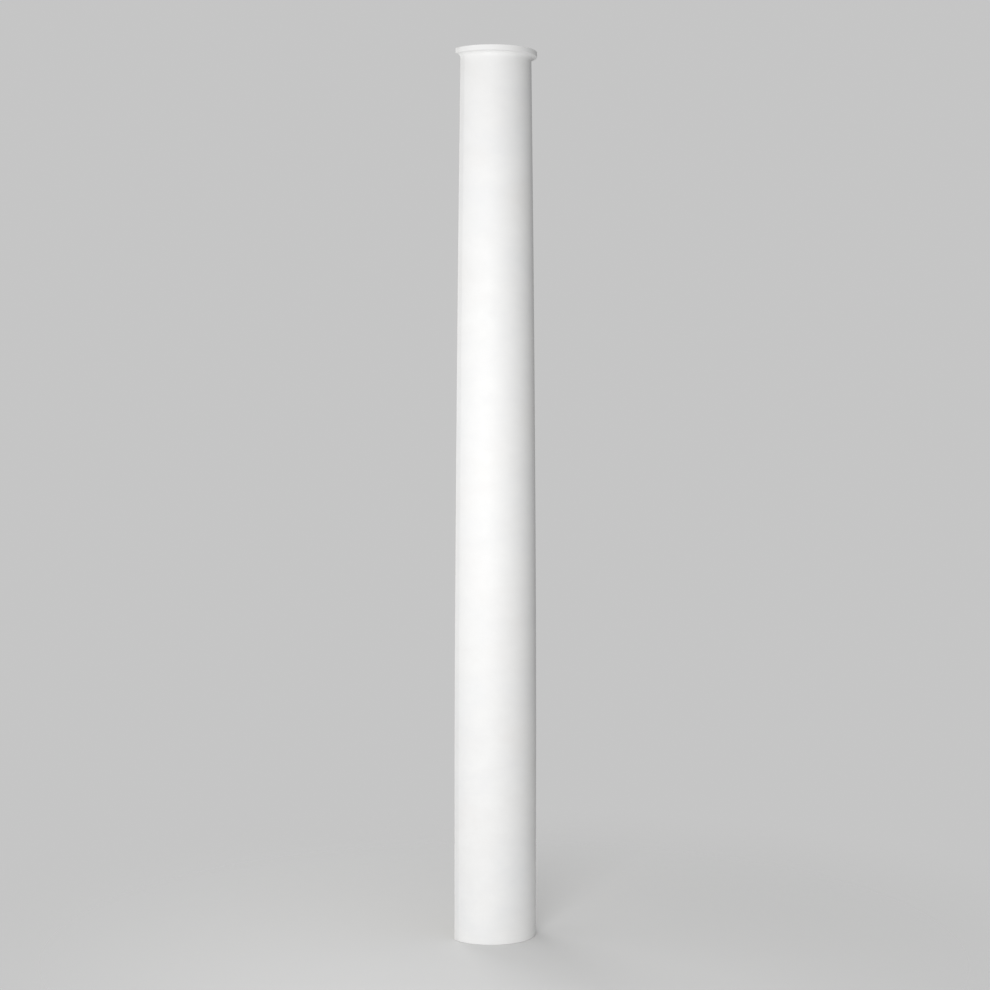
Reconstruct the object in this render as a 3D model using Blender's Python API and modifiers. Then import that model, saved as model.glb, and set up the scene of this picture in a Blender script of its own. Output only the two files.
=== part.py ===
"""An engaged half column: a plain half-round shaft, moulded in one piece with the collar at its top.

The shaft stands on the floor with its open back against a wall. It is a hollow half shell: straight at the foot,
thinning along a gentle curve (entasis) to the neck, where a cavetto and a fillet flare out to seat a capital.
+Z is up and the front faces -Y. The origin is on the floor, in the middle of the overall width and depth.
All sizes are in metres.
"""

import math

import bmesh
import bpy

# Shaft
HEIGHT = 2.200
FOOT_RADIUS = 0.112
NECK_RADIUS = 0.0965

# The shaft is straight up to ENTASIS_START and thins above it. A higher power keeps it full for longer.
ENTASIS_START = 0.440
ENTASIS_POWER = 1.6

# Collar, from the top down: a plain fillet that oversails a cavetto, which runs into the neck
COLLAR_SETBACK = 0.0015  # how far the fillet's face stays behind the face of the foot
FILLET_HEIGHT = 0.013
FILLET_OVERSAIL = 0.0015
CAVETTO_HEIGHT = 0.010

# Shell
WALL = 0.024
RETURN_DEPTH = 0.019  # the round stops this far from the wall, and a straight return runs back to it
ARRIS = 0.0012  # radius that softens the outer edges of the foot and the fillet

# How finely the round surfaces are divided
TURN_STEPS = 72
SHAFT_RINGS = 12
CAVETTO_RINGS = 6
ARRIS_RINGS = 2

MERGE = 0.00005

# Finish of the primed polyurethane
PRIMER_COLOUR = (0.86, 0.86, 0.855, 1.0)
PRIMER_ROUGHNESS = 0.62
SHARP_ANGLE = math.radians(30)

LIP_RADIUS = FOOT_RADIUS - COLLAR_SETBACK
CAVETTO_RADIUS = LIP_RADIUS - FILLET_OVERSAIL
NECK_HEIGHT = HEIGHT - FILLET_HEIGHT - CAVETTO_HEIGHT
WALL_PLANE = FOOT_RADIUS / 2


def shaft_radius(z):
    """The shaft's outer radius at height z."""
    risen = max(0.0, z - ENTASIS_START) / (NECK_HEIGHT - ENTASIS_START)
    return FOOT_RADIUS - (FOOT_RADIUS - NECK_RADIUS) * risen**ENTASIS_POWER


def shaft_outline():
    """The shaft from the neck down to where it becomes straight, in (radius, height)."""
    step = (NECK_HEIGHT - ENTASIS_START) / SHAFT_RINGS
    heights = [NECK_HEIGHT - step * ring for ring in range(SHAFT_RINGS + 1)]
    return [(shaft_radius(z), z) for z in heights]


def arc(centre, across, up, start, end, rings):
    """Points of an elliptical arc about centre, in (radius, height), from one angle to another in degrees."""
    points = []
    for ring in range(rings + 1):
        angle = math.radians(start + (end - start) * ring / rings)
        points.append((centre[0] + across * math.cos(angle), centre[1] + up * math.sin(angle)))
    return points


def collar_outline():
    """The collar from the top face down to just above the neck: a soft-edged fillet over a cavetto."""
    edge_radius = LIP_RADIUS - ARRIS
    upper_edge = arc((edge_radius, HEIGHT - ARRIS), ARRIS, ARRIS, 90, 0, ARRIS_RINGS)
    lower_edge = arc((edge_radius, HEIGHT - FILLET_HEIGHT + ARRIS), ARRIS, ARRIS, 0, -90, ARRIS_RINGS)
    projection = CAVETTO_RADIUS - NECK_RADIUS
    cavetto = arc((CAVETTO_RADIUS, NECK_HEIGHT), projection, CAVETTO_HEIGHT, 90, 180, CAVETTO_RINGS)
    return upper_edge + lower_edge + cavetto[:-1]


def foot_outline():
    """The soft outer edge of the foot, down to the floor."""
    return arc((FOOT_RADIUS - ARRIS, ARRIS), ARRIS, ARRIS, 0, -90, ARRIS_RINGS)


def shell_outline():
    """The wall's closed outline: down its outer side from the top face, and up its inner side again."""
    shaft = shaft_outline()
    inner_foot = (FOOT_RADIUS - WALL, 0.0)
    inner_side = [(radius - WALL, z) for radius, z in reversed(shaft)]
    inner_top = (NECK_RADIUS - WALL, HEIGHT)
    return collar_outline() + shaft + foot_outline() + [inner_foot] + inner_side + [inner_top]


def new_collection(name):
    collection = bpy.data.collections.new(name)
    bpy.context.scene.collection.children.link(collection)
    return collection


def turned(name, outline, collection):
    """A ring turned about the Z axis from a closed outline that runs down its outer side."""
    mesh = bpy.data.meshes.new(name)
    edges = [(i, (i + 1) % len(outline)) for i in range(len(outline))]
    mesh.from_pydata([(radius, 0.0, z) for radius, z in outline], edges, [])
    ring = bpy.data.objects.new(name, mesh)
    collection.objects.link(ring)
    screw = ring.modifiers.new("turn", "SCREW")
    screw.steps = screw.render_steps = TURN_STEPS
    screw.use_merge_vertices = True
    screw.merge_threshold = MERGE
    return ring


def apply_modifiers(piece):
    """Replaces the object's mesh by the one that its modifiers make."""
    evaluated = piece.evaluated_get(bpy.context.evaluated_depsgraph_get())
    mesh = bpy.data.meshes.new_from_object(evaluated)
    piece.modifiers.clear()
    piece.data = mesh


def halve_with_returns(piece):
    """Keeps the front of a turned ring, and carries its two cut ends straight back to the axis plane."""
    shape = bmesh.new()
    shape.from_mesh(piece.data)
    everything = shape.verts[:] + shape.edges[:] + shape.faces[:]
    bmesh.ops.bisect_plane(
        shape, geom=everything, plane_co=(0, -RETURN_DEPTH, 0), plane_no=(0, 1, 0), clear_outer=True
    )
    rims = [edge for edge in shape.edges if edge.is_boundary]
    carried = bmesh.ops.extrude_edge_only(shape, edges=rims)["geom"]
    for item in carried:
        if isinstance(item, bmesh.types.BMVert):
            item.co.y = 0.0
    back_rims = [item for item in carried if isinstance(item, bmesh.types.BMEdge) and item.is_boundary]
    bmesh.ops.edgeloop_fill(shape, edges=back_rims)
    bmesh.ops.recalc_face_normals(shape, faces=shape.faces[:])
    shape.to_mesh(piece.data)
    shape.free()


def primed_polyurethane():
    material = bpy.data.materials.new("primed_polyurethane")
    material.use_nodes = True
    shader = material.node_tree.nodes["Principled BSDF"]
    shader.inputs["Base Color"].default_value = PRIMER_COLOUR
    shader.inputs["Roughness"].default_value = PRIMER_ROUGHNESS
    shader.inputs["Metallic"].default_value = 0.0
    return material


def main():
    for old in list(bpy.data.objects):
        bpy.data.objects.remove(old)

    parts = new_collection("engaged_half_column")
    shaft = turned("half_column_shaft", shell_outline(), parts)
    apply_modifiers(shaft)
    halve_with_returns(shaft)
    shaft.location.y = WALL_PLANE
    shaft.data.materials.append(primed_polyurethane())
    shaft.data.shade_smooth()
    shaft.data.set_sharp_from_angle(angle=SHARP_ANGLE)


main()
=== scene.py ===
"""The looks of the engaged half column: its moulded shaft as a fine mesh, a pale floor, soft light, a camera.

The shaft is one moulding of rigid polyurethane foam. Its outside is primed white. Its inside, its back edges
and its sawn ends are bare foam. Lengths are in metres.
"""

import math

import bmesh
import bpy
from mathutils import Matrix, Vector, noise


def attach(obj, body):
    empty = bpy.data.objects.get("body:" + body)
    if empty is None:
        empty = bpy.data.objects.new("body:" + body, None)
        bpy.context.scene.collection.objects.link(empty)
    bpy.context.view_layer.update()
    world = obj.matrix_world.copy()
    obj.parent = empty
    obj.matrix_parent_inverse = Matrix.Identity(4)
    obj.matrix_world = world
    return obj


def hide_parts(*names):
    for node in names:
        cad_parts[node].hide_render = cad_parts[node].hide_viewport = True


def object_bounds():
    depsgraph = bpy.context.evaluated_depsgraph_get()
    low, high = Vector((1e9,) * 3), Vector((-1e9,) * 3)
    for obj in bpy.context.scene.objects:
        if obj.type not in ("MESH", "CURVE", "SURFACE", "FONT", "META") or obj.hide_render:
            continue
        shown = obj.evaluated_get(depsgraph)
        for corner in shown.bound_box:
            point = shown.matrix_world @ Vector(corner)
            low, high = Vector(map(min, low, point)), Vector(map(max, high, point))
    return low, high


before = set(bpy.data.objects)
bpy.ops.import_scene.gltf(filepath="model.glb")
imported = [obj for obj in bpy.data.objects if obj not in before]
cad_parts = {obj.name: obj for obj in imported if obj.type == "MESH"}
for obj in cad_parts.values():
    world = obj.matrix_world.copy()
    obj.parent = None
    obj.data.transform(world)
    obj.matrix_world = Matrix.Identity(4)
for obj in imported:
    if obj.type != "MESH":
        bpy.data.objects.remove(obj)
cad_low, cad_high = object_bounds()

# Sizes that the frame gives
HEIGHT = cad_high.z
WALL_PLANE = cad_high.y
FOOT_RADIUS = cad_high.y - cad_low.y

# Sizes that repeat the solid's
NECK_RADIUS = 0.0965
ENTASIS_START = 0.440
ENTASIS_POWER = 1.6
COLLAR_SETBACK = 0.0015
FILLET_HEIGHT = 0.013
FILLET_OVERSAIL = 0.0015
CAVETTO_HEIGHT = 0.010
WALL = 0.024
RETURN_DEPTH = 0.019
ARRIS = 0.0012
LIP_RADIUS = FOOT_RADIUS - COLLAR_SETBACK
CAVETTO_RADIUS = LIP_RADIUS - FILLET_OVERSAIL
NECK_HEIGHT = HEIGHT - FILLET_HEIGHT - CAVETTO_HEIGHT

# How finely the mesh is divided
ROUND_COLUMNS = 120
RETURN_COLUMNS = 5
SHAFT_ROWS = 300
INNER_ROWS = 90
CAVETTO_ROWS = 12
FILLET_ROWS = 3
ARRIS_ROWS = 4

# Edges
CREASE_HALF_WIDTH = 0.0008  # how far each way the moulded crease between round and return is softened
TRIMMED_ARRIS = 0.0007  # the edges of the back and of the inside, after trimming
TRIM_SEGMENTS = 2
TRIM_ANGLE = math.radians(50)  # edges that turn by less than this are moulded, and aren't trimmed

# The moulding's faint unevenness, as (wavelength, height), which is longer around the shaft than up it
PRIMED_WAVES = ((0.170, 0.00016), (0.034, 0.00003))
FOAM_WAVES = ((0.090, 0.00040), (0.018, 0.00012))
WAVE_STRETCH = 2.2

# Camera: turned to the left of the shaft's front, a little above its middle, and looking slightly down
VIEW_TURN = math.radians(34)
CAMERA_DISTANCE = 4.948
CAMERA_ASIDE = 0.0080
EYE_HEIGHT = 1.288
LOOK_DOWN = math.radians(2.13)
CAMERA_ROLL = math.radians(0.08)
LENS = 72.14

# Light
KEY_TURN = math.radians(43)
KEY_DISTANCE = 2.7
KEY_HEIGHT = 1.30
KEY_SIZE = 0.9
KEY_POWER = 45.5
BACK_TURN = math.radians(186)
BACK_DISTANCE = 2.6
BACK_HEIGHT = 2.1
BACK_SIZE = 1.3
BACK_POWER = 23
TOP_STRENGTH = 0.70
TOP_SPREAD = math.radians(50)
SKY_LEFT = 0.58
SKY_RIGHT = 0.27
BACKGROUND = 0.56

# Floor
FLOOR_RADIUS = 1.8
FLOOR_SIDES = 96
FLOOR_FADE = (0.25, 1.7)
FLOOR_COLOUR = (0.61, 0.61, 0.607, 1)
FLOOR_ROUGHNESS = 0.7

# Primer. A texture is given as (size across, height), and a range of noise by where it starts and ends.
PRIMER_COOL = (0.838, 0.842, 0.845, 1)
PRIMER_WARM = (0.850, 0.843, 0.833, 1)
PRIMER_LIGHT = (0.878, 0.877, 0.871, 1)
PRIMER_ROUGHNESS = (0.52, 0.66)
PRIMER_SPECULAR = 0.35
TINT_SIZE = 0.150
TINT_RANGE = (0.35, 0.65)
MOTTLING_SIZE = 0.060
MOTTLING_STRETCH = (0.7, 0.7, 1.0)
SHEEN_SIZE = 0.025
BROAD_RANGE = (0.3, 0.7)
SKIN_WAVES = (0.011, 0.00012)
SKIN_WAVE_STRETCH = (0.5, 0.5, 1.0)
ORANGE_PEEL = (0.0035, 0.00009)
GRAIN = (0.0007, 0.00003)
PINHOLES = (0.022, 0.00030)  # how close together they can come, and their depth
PINHOLE_SHARES = (0.010, 0.022)  # how far a pinhole's floor and its rim reach, as shares of that distance

# Foam, inside and where it is sawn
FOAM_DARK = (0.79, 0.755, 0.665, 1)
FOAM_LIGHT = (0.875, 0.850, 0.775, 1)
FOAM_ROUGHNESS = 0.82
FOAM_SPECULAR = 0.25
OVERSPRAY_REACH = 0.030
DROPLET_SIZE = 0.0022
DROPLET_RANGE = (0.45, 0.60)
FLOW_STREAKS = (0.040, 0.0009)
FLOW_STRETCH = (1.0, 1.0, 0.3)
BLISTERS = (0.017, 0.0005)
BLISTER_SHARES = (0.26, 0.08)  # how far a blister's rim and its flat top reach, as shares of its size
PORES = (0.0012, -0.00015)
PORE_RANGE = (0.50, 0.36)
BLOTCH_SIZE = 0.030
MIST_SIZE = 0.018
MIST_RANGE = (0.35, 0.65)
MIST_COVER = (0.30, 0.85)
SAW_MARKS = {"Scale": 110, "Distortion": 1.5, "Detail": 2.0}
SAW_MARK_STRETCH = (0.35, 0.35, 1.0)
SAW_MARK_HEIGHT = 0.00008
OPEN_CELLS = (0.0013, 0.00022)

# The shell's material slots
PRIMED, MOULDED, SAWN = range(3)

# Where a colour mix node has its sockets
MIX_FACTOR, MIX_DARK, MIX_LIGHT = 0, 6, 7
MIX_RESULT = 2


def shaft_radius(z):
    """The shaft's outer radius at height z."""
    risen = max(0.0, z - ENTASIS_START) / (NECK_HEIGHT - ENTASIS_START)
    return FOOT_RADIUS - (FOOT_RADIUS - NECK_RADIUS) * risen**ENTASIS_POWER


def spaced(start, end, count):
    """Evenly spaced values from start to end, count steps apart."""
    return [start + (end - start) * i / count for i in range(count + 1)]


def arc(centre, across, up, start, end, rows):
    """Points of an elliptical arc in (radius, height), from one angle to another in degrees."""
    turns = [math.radians(turn) for turn in spaced(start, end, rows)]
    return [(centre[0] + across * math.cos(turn), centre[1] + up * math.sin(turn)) for turn in turns]


def outer_side():
    """The outside in (radius, height), from the top face down to the floor."""
    edge = LIP_RADIUS - ARRIS
    fillet_foot = HEIGHT - FILLET_HEIGHT
    upper_edge = arc((edge, HEIGHT - ARRIS), ARRIS, ARRIS, 90, 0, ARRIS_ROWS)
    face = [(LIP_RADIUS, z) for z in spaced(HEIGHT - ARRIS, fillet_foot + ARRIS, FILLET_ROWS)]
    lower_edge = arc((edge, fillet_foot + ARRIS), ARRIS, ARRIS, 0, -90, ARRIS_ROWS)
    projection = CAVETTO_RADIUS - NECK_RADIUS
    cavetto = arc((CAVETTO_RADIUS, NECK_HEIGHT), projection, CAVETTO_HEIGHT, 90, 180, CAVETTO_ROWS)
    shaft = [(shaft_radius(z), z) for z in spaced(NECK_HEIGHT, ARRIS, SHAFT_ROWS)]
    foot_edge = arc((FOOT_RADIUS - ARRIS, ARRIS), ARRIS, ARRIS, 0, -90, ARRIS_ROWS)
    return upper_edge + face[1:-1] + lower_edge + cavetto[:-1] + shaft + foot_edge[1:]


def inner_side():
    """The inside, from the floor up to the top face."""
    shaft = [(shaft_radius(z) - WALL, z) for z in spaced(0.0, NECK_HEIGHT, INNER_ROWS)]
    return shaft + [(NECK_RADIUS - WALL, HEIGHT)]


def section(radius):
    """The half-round section of one radius about the axis, from its left end at the wall to its right one."""
    half_turn = math.acos(RETURN_DEPTH / radius)
    half_width = radius * math.sin(half_turn)
    soft_turn = CREASE_HALF_WIDTH / radius
    returning = spaced(0.0, RETURN_DEPTH - CREASE_HALF_WIDTH, RETURN_COLUMNS)
    left_return = [(-half_width, -depth) for depth in returning]
    turns = [-half_turn] + spaced(soft_turn - half_turn, half_turn - soft_turn, ROUND_COLUMNS) + [half_turn]
    front = [(radius * math.sin(turn), -radius * math.cos(turn)) for turn in turns]
    right_return = [(-x, y) for x, y in reversed(left_return)]
    return left_return + front + right_return


def uneven(x, y, z, waves):
    """A point of the section, moved out from the axis or in towards it by the moulding's unevenness."""
    swell = 0.0
    for wavelength, size in waves:
        swell += size * noise.noise(Vector((x / WAVE_STRETCH, y / WAVE_STRETCH, z)) / wavelength)
    grown = 1 + swell / math.hypot(x, y)
    return (x * grown, y * grown, z)


def shell_mesh():
    """The whole shell about the axis, with a material slot for what is primed, moulded and sawn."""
    outside = outer_side()
    inside = inner_side()
    shape = bmesh.new()
    rows = []
    for outline, waves in ((outside, PRIMED_WAVES), (inside, FOAM_WAVES)):
        for radius, z in outline:
            rows.append([shape.verts.new(uneven(x, y, z, waves)) for x, y in section(radius)])
    slots = [PRIMED] * (len(outside) - 1) + [SAWN] + [MOULDED] * (len(inside) - 1) + [SAWN]
    for i, row in enumerate(rows):
        following = rows[(i + 1) % len(rows)]
        for j in range(len(row) - 1):
            face = shape.faces.new((row[j], following[j], following[j + 1], row[j + 1]))
            face.material_index = slots[i]
    for end in (0, -1):
        back = shape.faces.new([row[end] for row in rows])
        back.material_index = SAWN
    bmesh.ops.recalc_face_normals(shape, faces=shape.faces[:])
    mesh = bpy.data.meshes.new("moulded_shaft")
    shape.to_mesh(mesh)
    shape.free()
    return mesh


def moulded_shaft():
    """The shaft in its place, with its finishes and its trimmed edges."""
    shaft = bpy.data.objects.new("moulded_shaft", shell_mesh())
    bpy.context.scene.collection.objects.link(shaft)
    shaft.data.transform(Matrix.Translation((0, WALL_PLANE, 0)))
    for finish in (primed_skin(), moulded_foam(), sawn_foam()):
        shaft.data.materials.append(finish)
    trim = shaft.modifiers.new("trimmed edges", "BEVEL")
    trim.width = TRIMMED_ARRIS
    trim.segments = TRIM_SEGMENTS
    trim.limit_method = "ANGLE"
    trim.angle_limit = TRIM_ANGLE
    trim.material = SAWN
    trim.use_clamp_overlap = True
    shaft.data.shade_smooth()
    shaft.modifiers.new("flat faces stay flat", "WEIGHTED_NORMAL")
    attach(shaft, "root")
    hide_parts("half_column_shaft")


class Nodes:
    """A material's node tree, with short ways to add a node, set its inputs and link it."""

    def __init__(self, name):
        self.material = bpy.data.materials.new(name)
        self.material.use_nodes = True
        self.tree = self.material.node_tree
        self.shader = self.tree.nodes["Principled BSDF"]
        self.output = self.tree.nodes["Material Output"]
        self.place = self.add("ShaderNodeTexCoord").outputs["Object"]

    def add(self, kind, inputs=(), **settings):
        node = self.tree.nodes.new(kind)
        for name, value in settings.items():
            setattr(node, name, value)
        for name, value in dict(inputs).items():
            self.feed(node.inputs[name], value)
        return node

    def feed(self, socket, value):
        """Links the socket to another one, or sets it where the value is a plain one."""
        if isinstance(value, bpy.types.NodeSocket):
            self.tree.links.new(value, socket)
        else:
            socket.default_value = value

    def stretched(self, scale):
        """The object's coordinates, with each axis scaled."""
        return self.add("ShaderNodeMapping", {"Vector": self.place, "Scale": scale}).outputs["Vector"]

    def noise(self, size, detail=2.0, roughness=0.5, place=None):
        """Soft noise whose spots are about one size wide."""
        inputs = {"Vector": place or self.place, "Scale": 1 / size, "Detail": detail, "Roughness": roughness}
        return self.add("ShaderNodeTexNoise", inputs).outputs["Fac"]

    def cells(self, size):
        """How far each place is from the middle of its cell, as a share of the cells' size."""
        return self.add("ShaderNodeTexVoronoi", {"Vector": self.place, "Scale": 1 / size}).outputs["Distance"]

    def ranged(self, value, limits, results=(0.0, 1.0)):
        """The value mapped from its limits to the results, and held at them outside."""
        inputs = {"Value": value, "From Min": limits[0], "From Max": limits[1]}
        inputs.update({"To Min": results[0], "To Max": results[1]})
        return self.add("ShaderNodeMapRange", inputs).outputs["Result"]

    def mixed(self, factor, dark, light):
        mix = self.add("ShaderNodeMix", data_type="RGBA")
        for index, value in ((MIX_FACTOR, factor), (MIX_DARK, dark), (MIX_LIGHT, light)):
            self.feed(mix.inputs[index], value)
        return mix.outputs[MIX_RESULT]

    def product(self, one, other):
        node = self.add("ShaderNodeMath", operation="MULTIPLY")
        for socket, value in zip(node.inputs, (one, other)):
            self.feed(socket, value)
        return node.outputs[0]

    def bump(self, pattern, height, under=None):
        """A bump where the pattern is 1, of that height, on top of another one if it is given."""
        inputs = {"Height": pattern, "Distance": height, "Strength": 1.0}
        if under:
            inputs["Normal"] = under
        return self.add("ShaderNodeBump", inputs).outputs["Normal"]


def primed_skin():
    """Matte white primer: faint mottling, an uneven sheen, a light orange peel and a few pinholes."""
    nodes = Nodes("primed_skin")
    tint = nodes.ranged(nodes.noise(TINT_SIZE, detail=3.0), TINT_RANGE)
    broad = nodes.stretched(MOTTLING_STRETCH)
    mottling = nodes.noise(MOTTLING_SIZE, detail=4.0, roughness=0.6, place=broad)
    shaded = nodes.mixed(tint, PRIMER_COOL, PRIMER_WARM)
    colour = nodes.mixed(nodes.ranged(mottling, BROAD_RANGE), shaded, PRIMER_LIGHT)
    sheen = nodes.ranged(nodes.noise(SHEEN_SIZE, detail=3.0), BROAD_RANGE, PRIMER_ROUGHNESS)
    wave_size, wave_height = SKIN_WAVES
    waves = nodes.bump(nodes.noise(wave_size, place=nodes.stretched(SKIN_WAVE_STRETCH)), wave_height)
    peel_size, peel_height = ORANGE_PEEL
    peel = nodes.bump(nodes.noise(peel_size, detail=1.0), peel_height, waves)
    grain_size, grain_height = GRAIN
    grain = nodes.bump(nodes.noise(grain_size), grain_height, peel)
    pinhole_spacing, pinhole_depth = PINHOLES
    pinholes = nodes.bump(nodes.ranged(nodes.cells(pinhole_spacing), PINHOLE_SHARES), pinhole_depth, grain)
    nodes.feed(nodes.shader.inputs["Base Color"], colour)
    nodes.feed(nodes.shader.inputs["Roughness"], sheen)
    nodes.feed(nodes.shader.inputs["Normal"], pinholes)
    nodes.shader.inputs["Specular IOR Level"].default_value = PRIMER_SPECULAR
    return nodes.material


def foam_colour(nodes, blotches, cover):
    """Cream foam with soft blotches, under the share of primer that cover gives."""
    foam = nodes.mixed(nodes.ranged(blotches, BROAD_RANGE), FOAM_DARK, FOAM_LIGHT)
    nodes.feed(nodes.shader.inputs["Base Color"], nodes.mixed(cover, foam, PRIMER_LIGHT))
    nodes.shader.inputs["Roughness"].default_value = FOAM_ROUGHNESS
    nodes.shader.inputs["Specular IOR Level"].default_value = FOAM_SPECULAR


def primer_droplets(nodes):
    return nodes.ranged(nodes.noise(DROPLET_SIZE, detail=3.0), DROPLET_RANGE)


def moulded_foam():
    """The inside as it leaves the mould: streaked by the flow, blistered, and misted near the back edges."""
    nodes = Nodes("moulded_foam")
    streak_size, streak_height = FLOW_STREAKS
    streaks = nodes.noise(streak_size, detail=5.0, roughness=0.6, place=nodes.stretched(FLOW_STRETCH))
    depth = nodes.add("ShaderNodeSeparateXYZ", {"Vector": nodes.place}).outputs["Y"]
    near_wall = nodes.ranged(depth, (WALL_PLANE - OVERSPRAY_REACH, WALL_PLANE))
    foam_colour(nodes, streaks, nodes.product(near_wall, primer_droplets(nodes)))
    skin = nodes.bump(streaks, streak_height)
    blister_size, blister_height = BLISTERS
    blisters = nodes.bump(nodes.ranged(nodes.cells(blister_size), BLISTER_SHARES), blister_height, skin)
    pore_size, pore_height = PORES
    pores = nodes.bump(nodes.ranged(nodes.noise(pore_size), PORE_RANGE), pore_height, blisters)
    nodes.feed(nodes.shader.inputs["Normal"], pores)
    return nodes.material


def sawn_foam():
    """The back edges and the two ends, sawn flat: open cells, faint saw marks and a patchy mist of primer."""
    nodes = Nodes("sawn_foam")
    blotches = nodes.noise(BLOTCH_SIZE, detail=4.0)
    patches = nodes.ranged(nodes.noise(MIST_SIZE, detail=3.0), MIST_RANGE, MIST_COVER)
    foam_colour(nodes, blotches, nodes.product(patches, primer_droplets(nodes)))
    inputs = {"Vector": nodes.stretched(SAW_MARK_STRETCH), **SAW_MARKS}
    marks = nodes.add("ShaderNodeTexWave", inputs, bands_direction="DIAGONAL").outputs["Fac"]
    sawn = nodes.bump(marks, SAW_MARK_HEIGHT)
    cell_size, cell_height = OPEN_CELLS
    cells = nodes.bump(nodes.cells(cell_size), cell_height, sawn)
    nodes.feed(nodes.shader.inputs["Normal"], cells)
    return nodes.material


def floor_finish():
    """A pale floor that thins out far away, so that it has no horizon."""
    nodes = Nodes("pale_floor")
    distance = nodes.add("ShaderNodeVectorMath", {0: nodes.place}, operation="LENGTH").outputs["Value"]
    near, far = FLOOR_FADE
    inputs = {"Value": distance, "From Min": near, "From Max": far}
    fade = nodes.add("ShaderNodeMapRange", inputs, interpolation_type="SMOOTHSTEP").outputs["Result"]
    nodes.shader.inputs["Base Color"].default_value = FLOOR_COLOUR
    nodes.shader.inputs["Roughness"].default_value = FLOOR_ROUGHNESS
    clear = nodes.add("ShaderNodeBsdfTransparent").outputs["BSDF"]
    mix = nodes.add("ShaderNodeMixShader", {0: fade, 1: nodes.shader.outputs["BSDF"], 2: clear})
    nodes.tree.links.new(mix.outputs["Shader"], nodes.output.inputs["Surface"])
    return nodes.material


def floor():
    bpy.ops.mesh.primitive_circle_add(vertices=FLOOR_SIDES, radius=FLOOR_RADIUS, fill_type="NGON")
    ground = bpy.context.object
    ground.name = "floor"
    ground.data.materials.append(floor_finish())


def around_axis(turn, distance, height):
    """A place around the shaft's axis: turn 0 is in front of it, and a positive turn goes to its left."""
    return Vector((-distance * math.sin(turn), WALL_PLANE - distance * math.cos(turn), height))


def new_lamp(name, light, place):
    lamp = bpy.data.objects.new(name, light)
    lamp.location = place
    lamp.visible_camera = False
    bpy.context.scene.collection.objects.link(lamp)
    return lamp


def softbox(name, turn, distance, height, size, power):
    """A square area light that faces the shaft's axis from that turn about it."""
    light = bpy.data.lights.new(name, "AREA")
    light.energy = power
    light.size = size
    lamp = new_lamp(name, light, around_axis(turn, distance, height))
    lamp.rotation_euler = (math.radians(90), 0, -turn)


def lights():
    """A soft key to the left of the front, a weaker light behind for the hollow, and a wide one above."""
    softbox("key", KEY_TURN, KEY_DISTANCE, KEY_HEIGHT, KEY_SIZE, KEY_POWER)
    softbox("back", BACK_TURN, BACK_DISTANCE, BACK_HEIGHT, BACK_SIZE, BACK_POWER)
    overhead = bpy.data.lights.new("top", "SUN")
    overhead.energy = TOP_STRENGTH
    overhead.angle = TOP_SPREAD
    new_lamp("top", overhead, Vector((0, WALL_PLANE, 2 * HEIGHT)))


def surroundings():
    """A soft sky, brighter on the viewer's left, that fills the shadows and is seen as an even pale grey."""
    world = bpy.data.worlds.new("studio")
    bpy.context.scene.world = world
    world.use_nodes = True
    tree = world.node_tree
    fill = tree.nodes["Background"]
    fill.inputs["Color"].default_value = (1, 1, 1, 1)
    leftward = tree.nodes.new("ShaderNodeVectorMath")
    leftward.operation = "DOT_PRODUCT"
    leftward.inputs[1].default_value = (-math.cos(VIEW_TURN), math.sin(VIEW_TURN), 0)
    tree.links.new(tree.nodes.new("ShaderNodeTexCoord").outputs["Generated"], leftward.inputs[0])
    sky = tree.nodes.new("ShaderNodeMapRange")
    for name, value in (("From Min", -1), ("From Max", 1), ("To Min", SKY_RIGHT), ("To Max", SKY_LEFT)):
        sky.inputs[name].default_value = value
    tree.links.new(leftward.outputs["Value"], sky.inputs["Value"])
    tree.links.new(sky.outputs["Result"], fill.inputs["Strength"])
    seen = tree.nodes.new("ShaderNodeBackground")
    seen.inputs["Color"].default_value = (BACKGROUND, BACKGROUND, BACKGROUND, 1)
    path = tree.nodes.new("ShaderNodeLightPath")
    mix = tree.nodes.new("ShaderNodeMixShader")
    tree.links.new(path.outputs["Is Camera Ray"], mix.inputs[0])
    tree.links.new(fill.outputs["Background"], mix.inputs[1])
    tree.links.new(seen.outputs["Background"], mix.inputs[2])
    tree.links.new(mix.outputs["Shader"], tree.nodes["World Output"].inputs["Surface"])


def camera():
    data = bpy.data.cameras.new("camera")
    data.lens = LENS
    viewer = bpy.data.objects.new("camera", data)
    aside = Vector((math.cos(VIEW_TURN), -math.sin(VIEW_TURN), 0)) * CAMERA_ASIDE
    viewer.location = around_axis(VIEW_TURN, CAMERA_DISTANCE, EYE_HEIGHT) + aside
    viewer.rotation_euler = (math.radians(90) - LOOK_DOWN, 0, -VIEW_TURN)
    viewer.rotation_euler.rotate_axis("Z", CAMERA_ROLL)
    bpy.context.scene.collection.objects.link(viewer)
    bpy.context.scene.camera = viewer


moulded_shaft()
floor()
lights()
surroundings()
camera()
bpy.context.scene.view_settings.view_transform = "Standard"
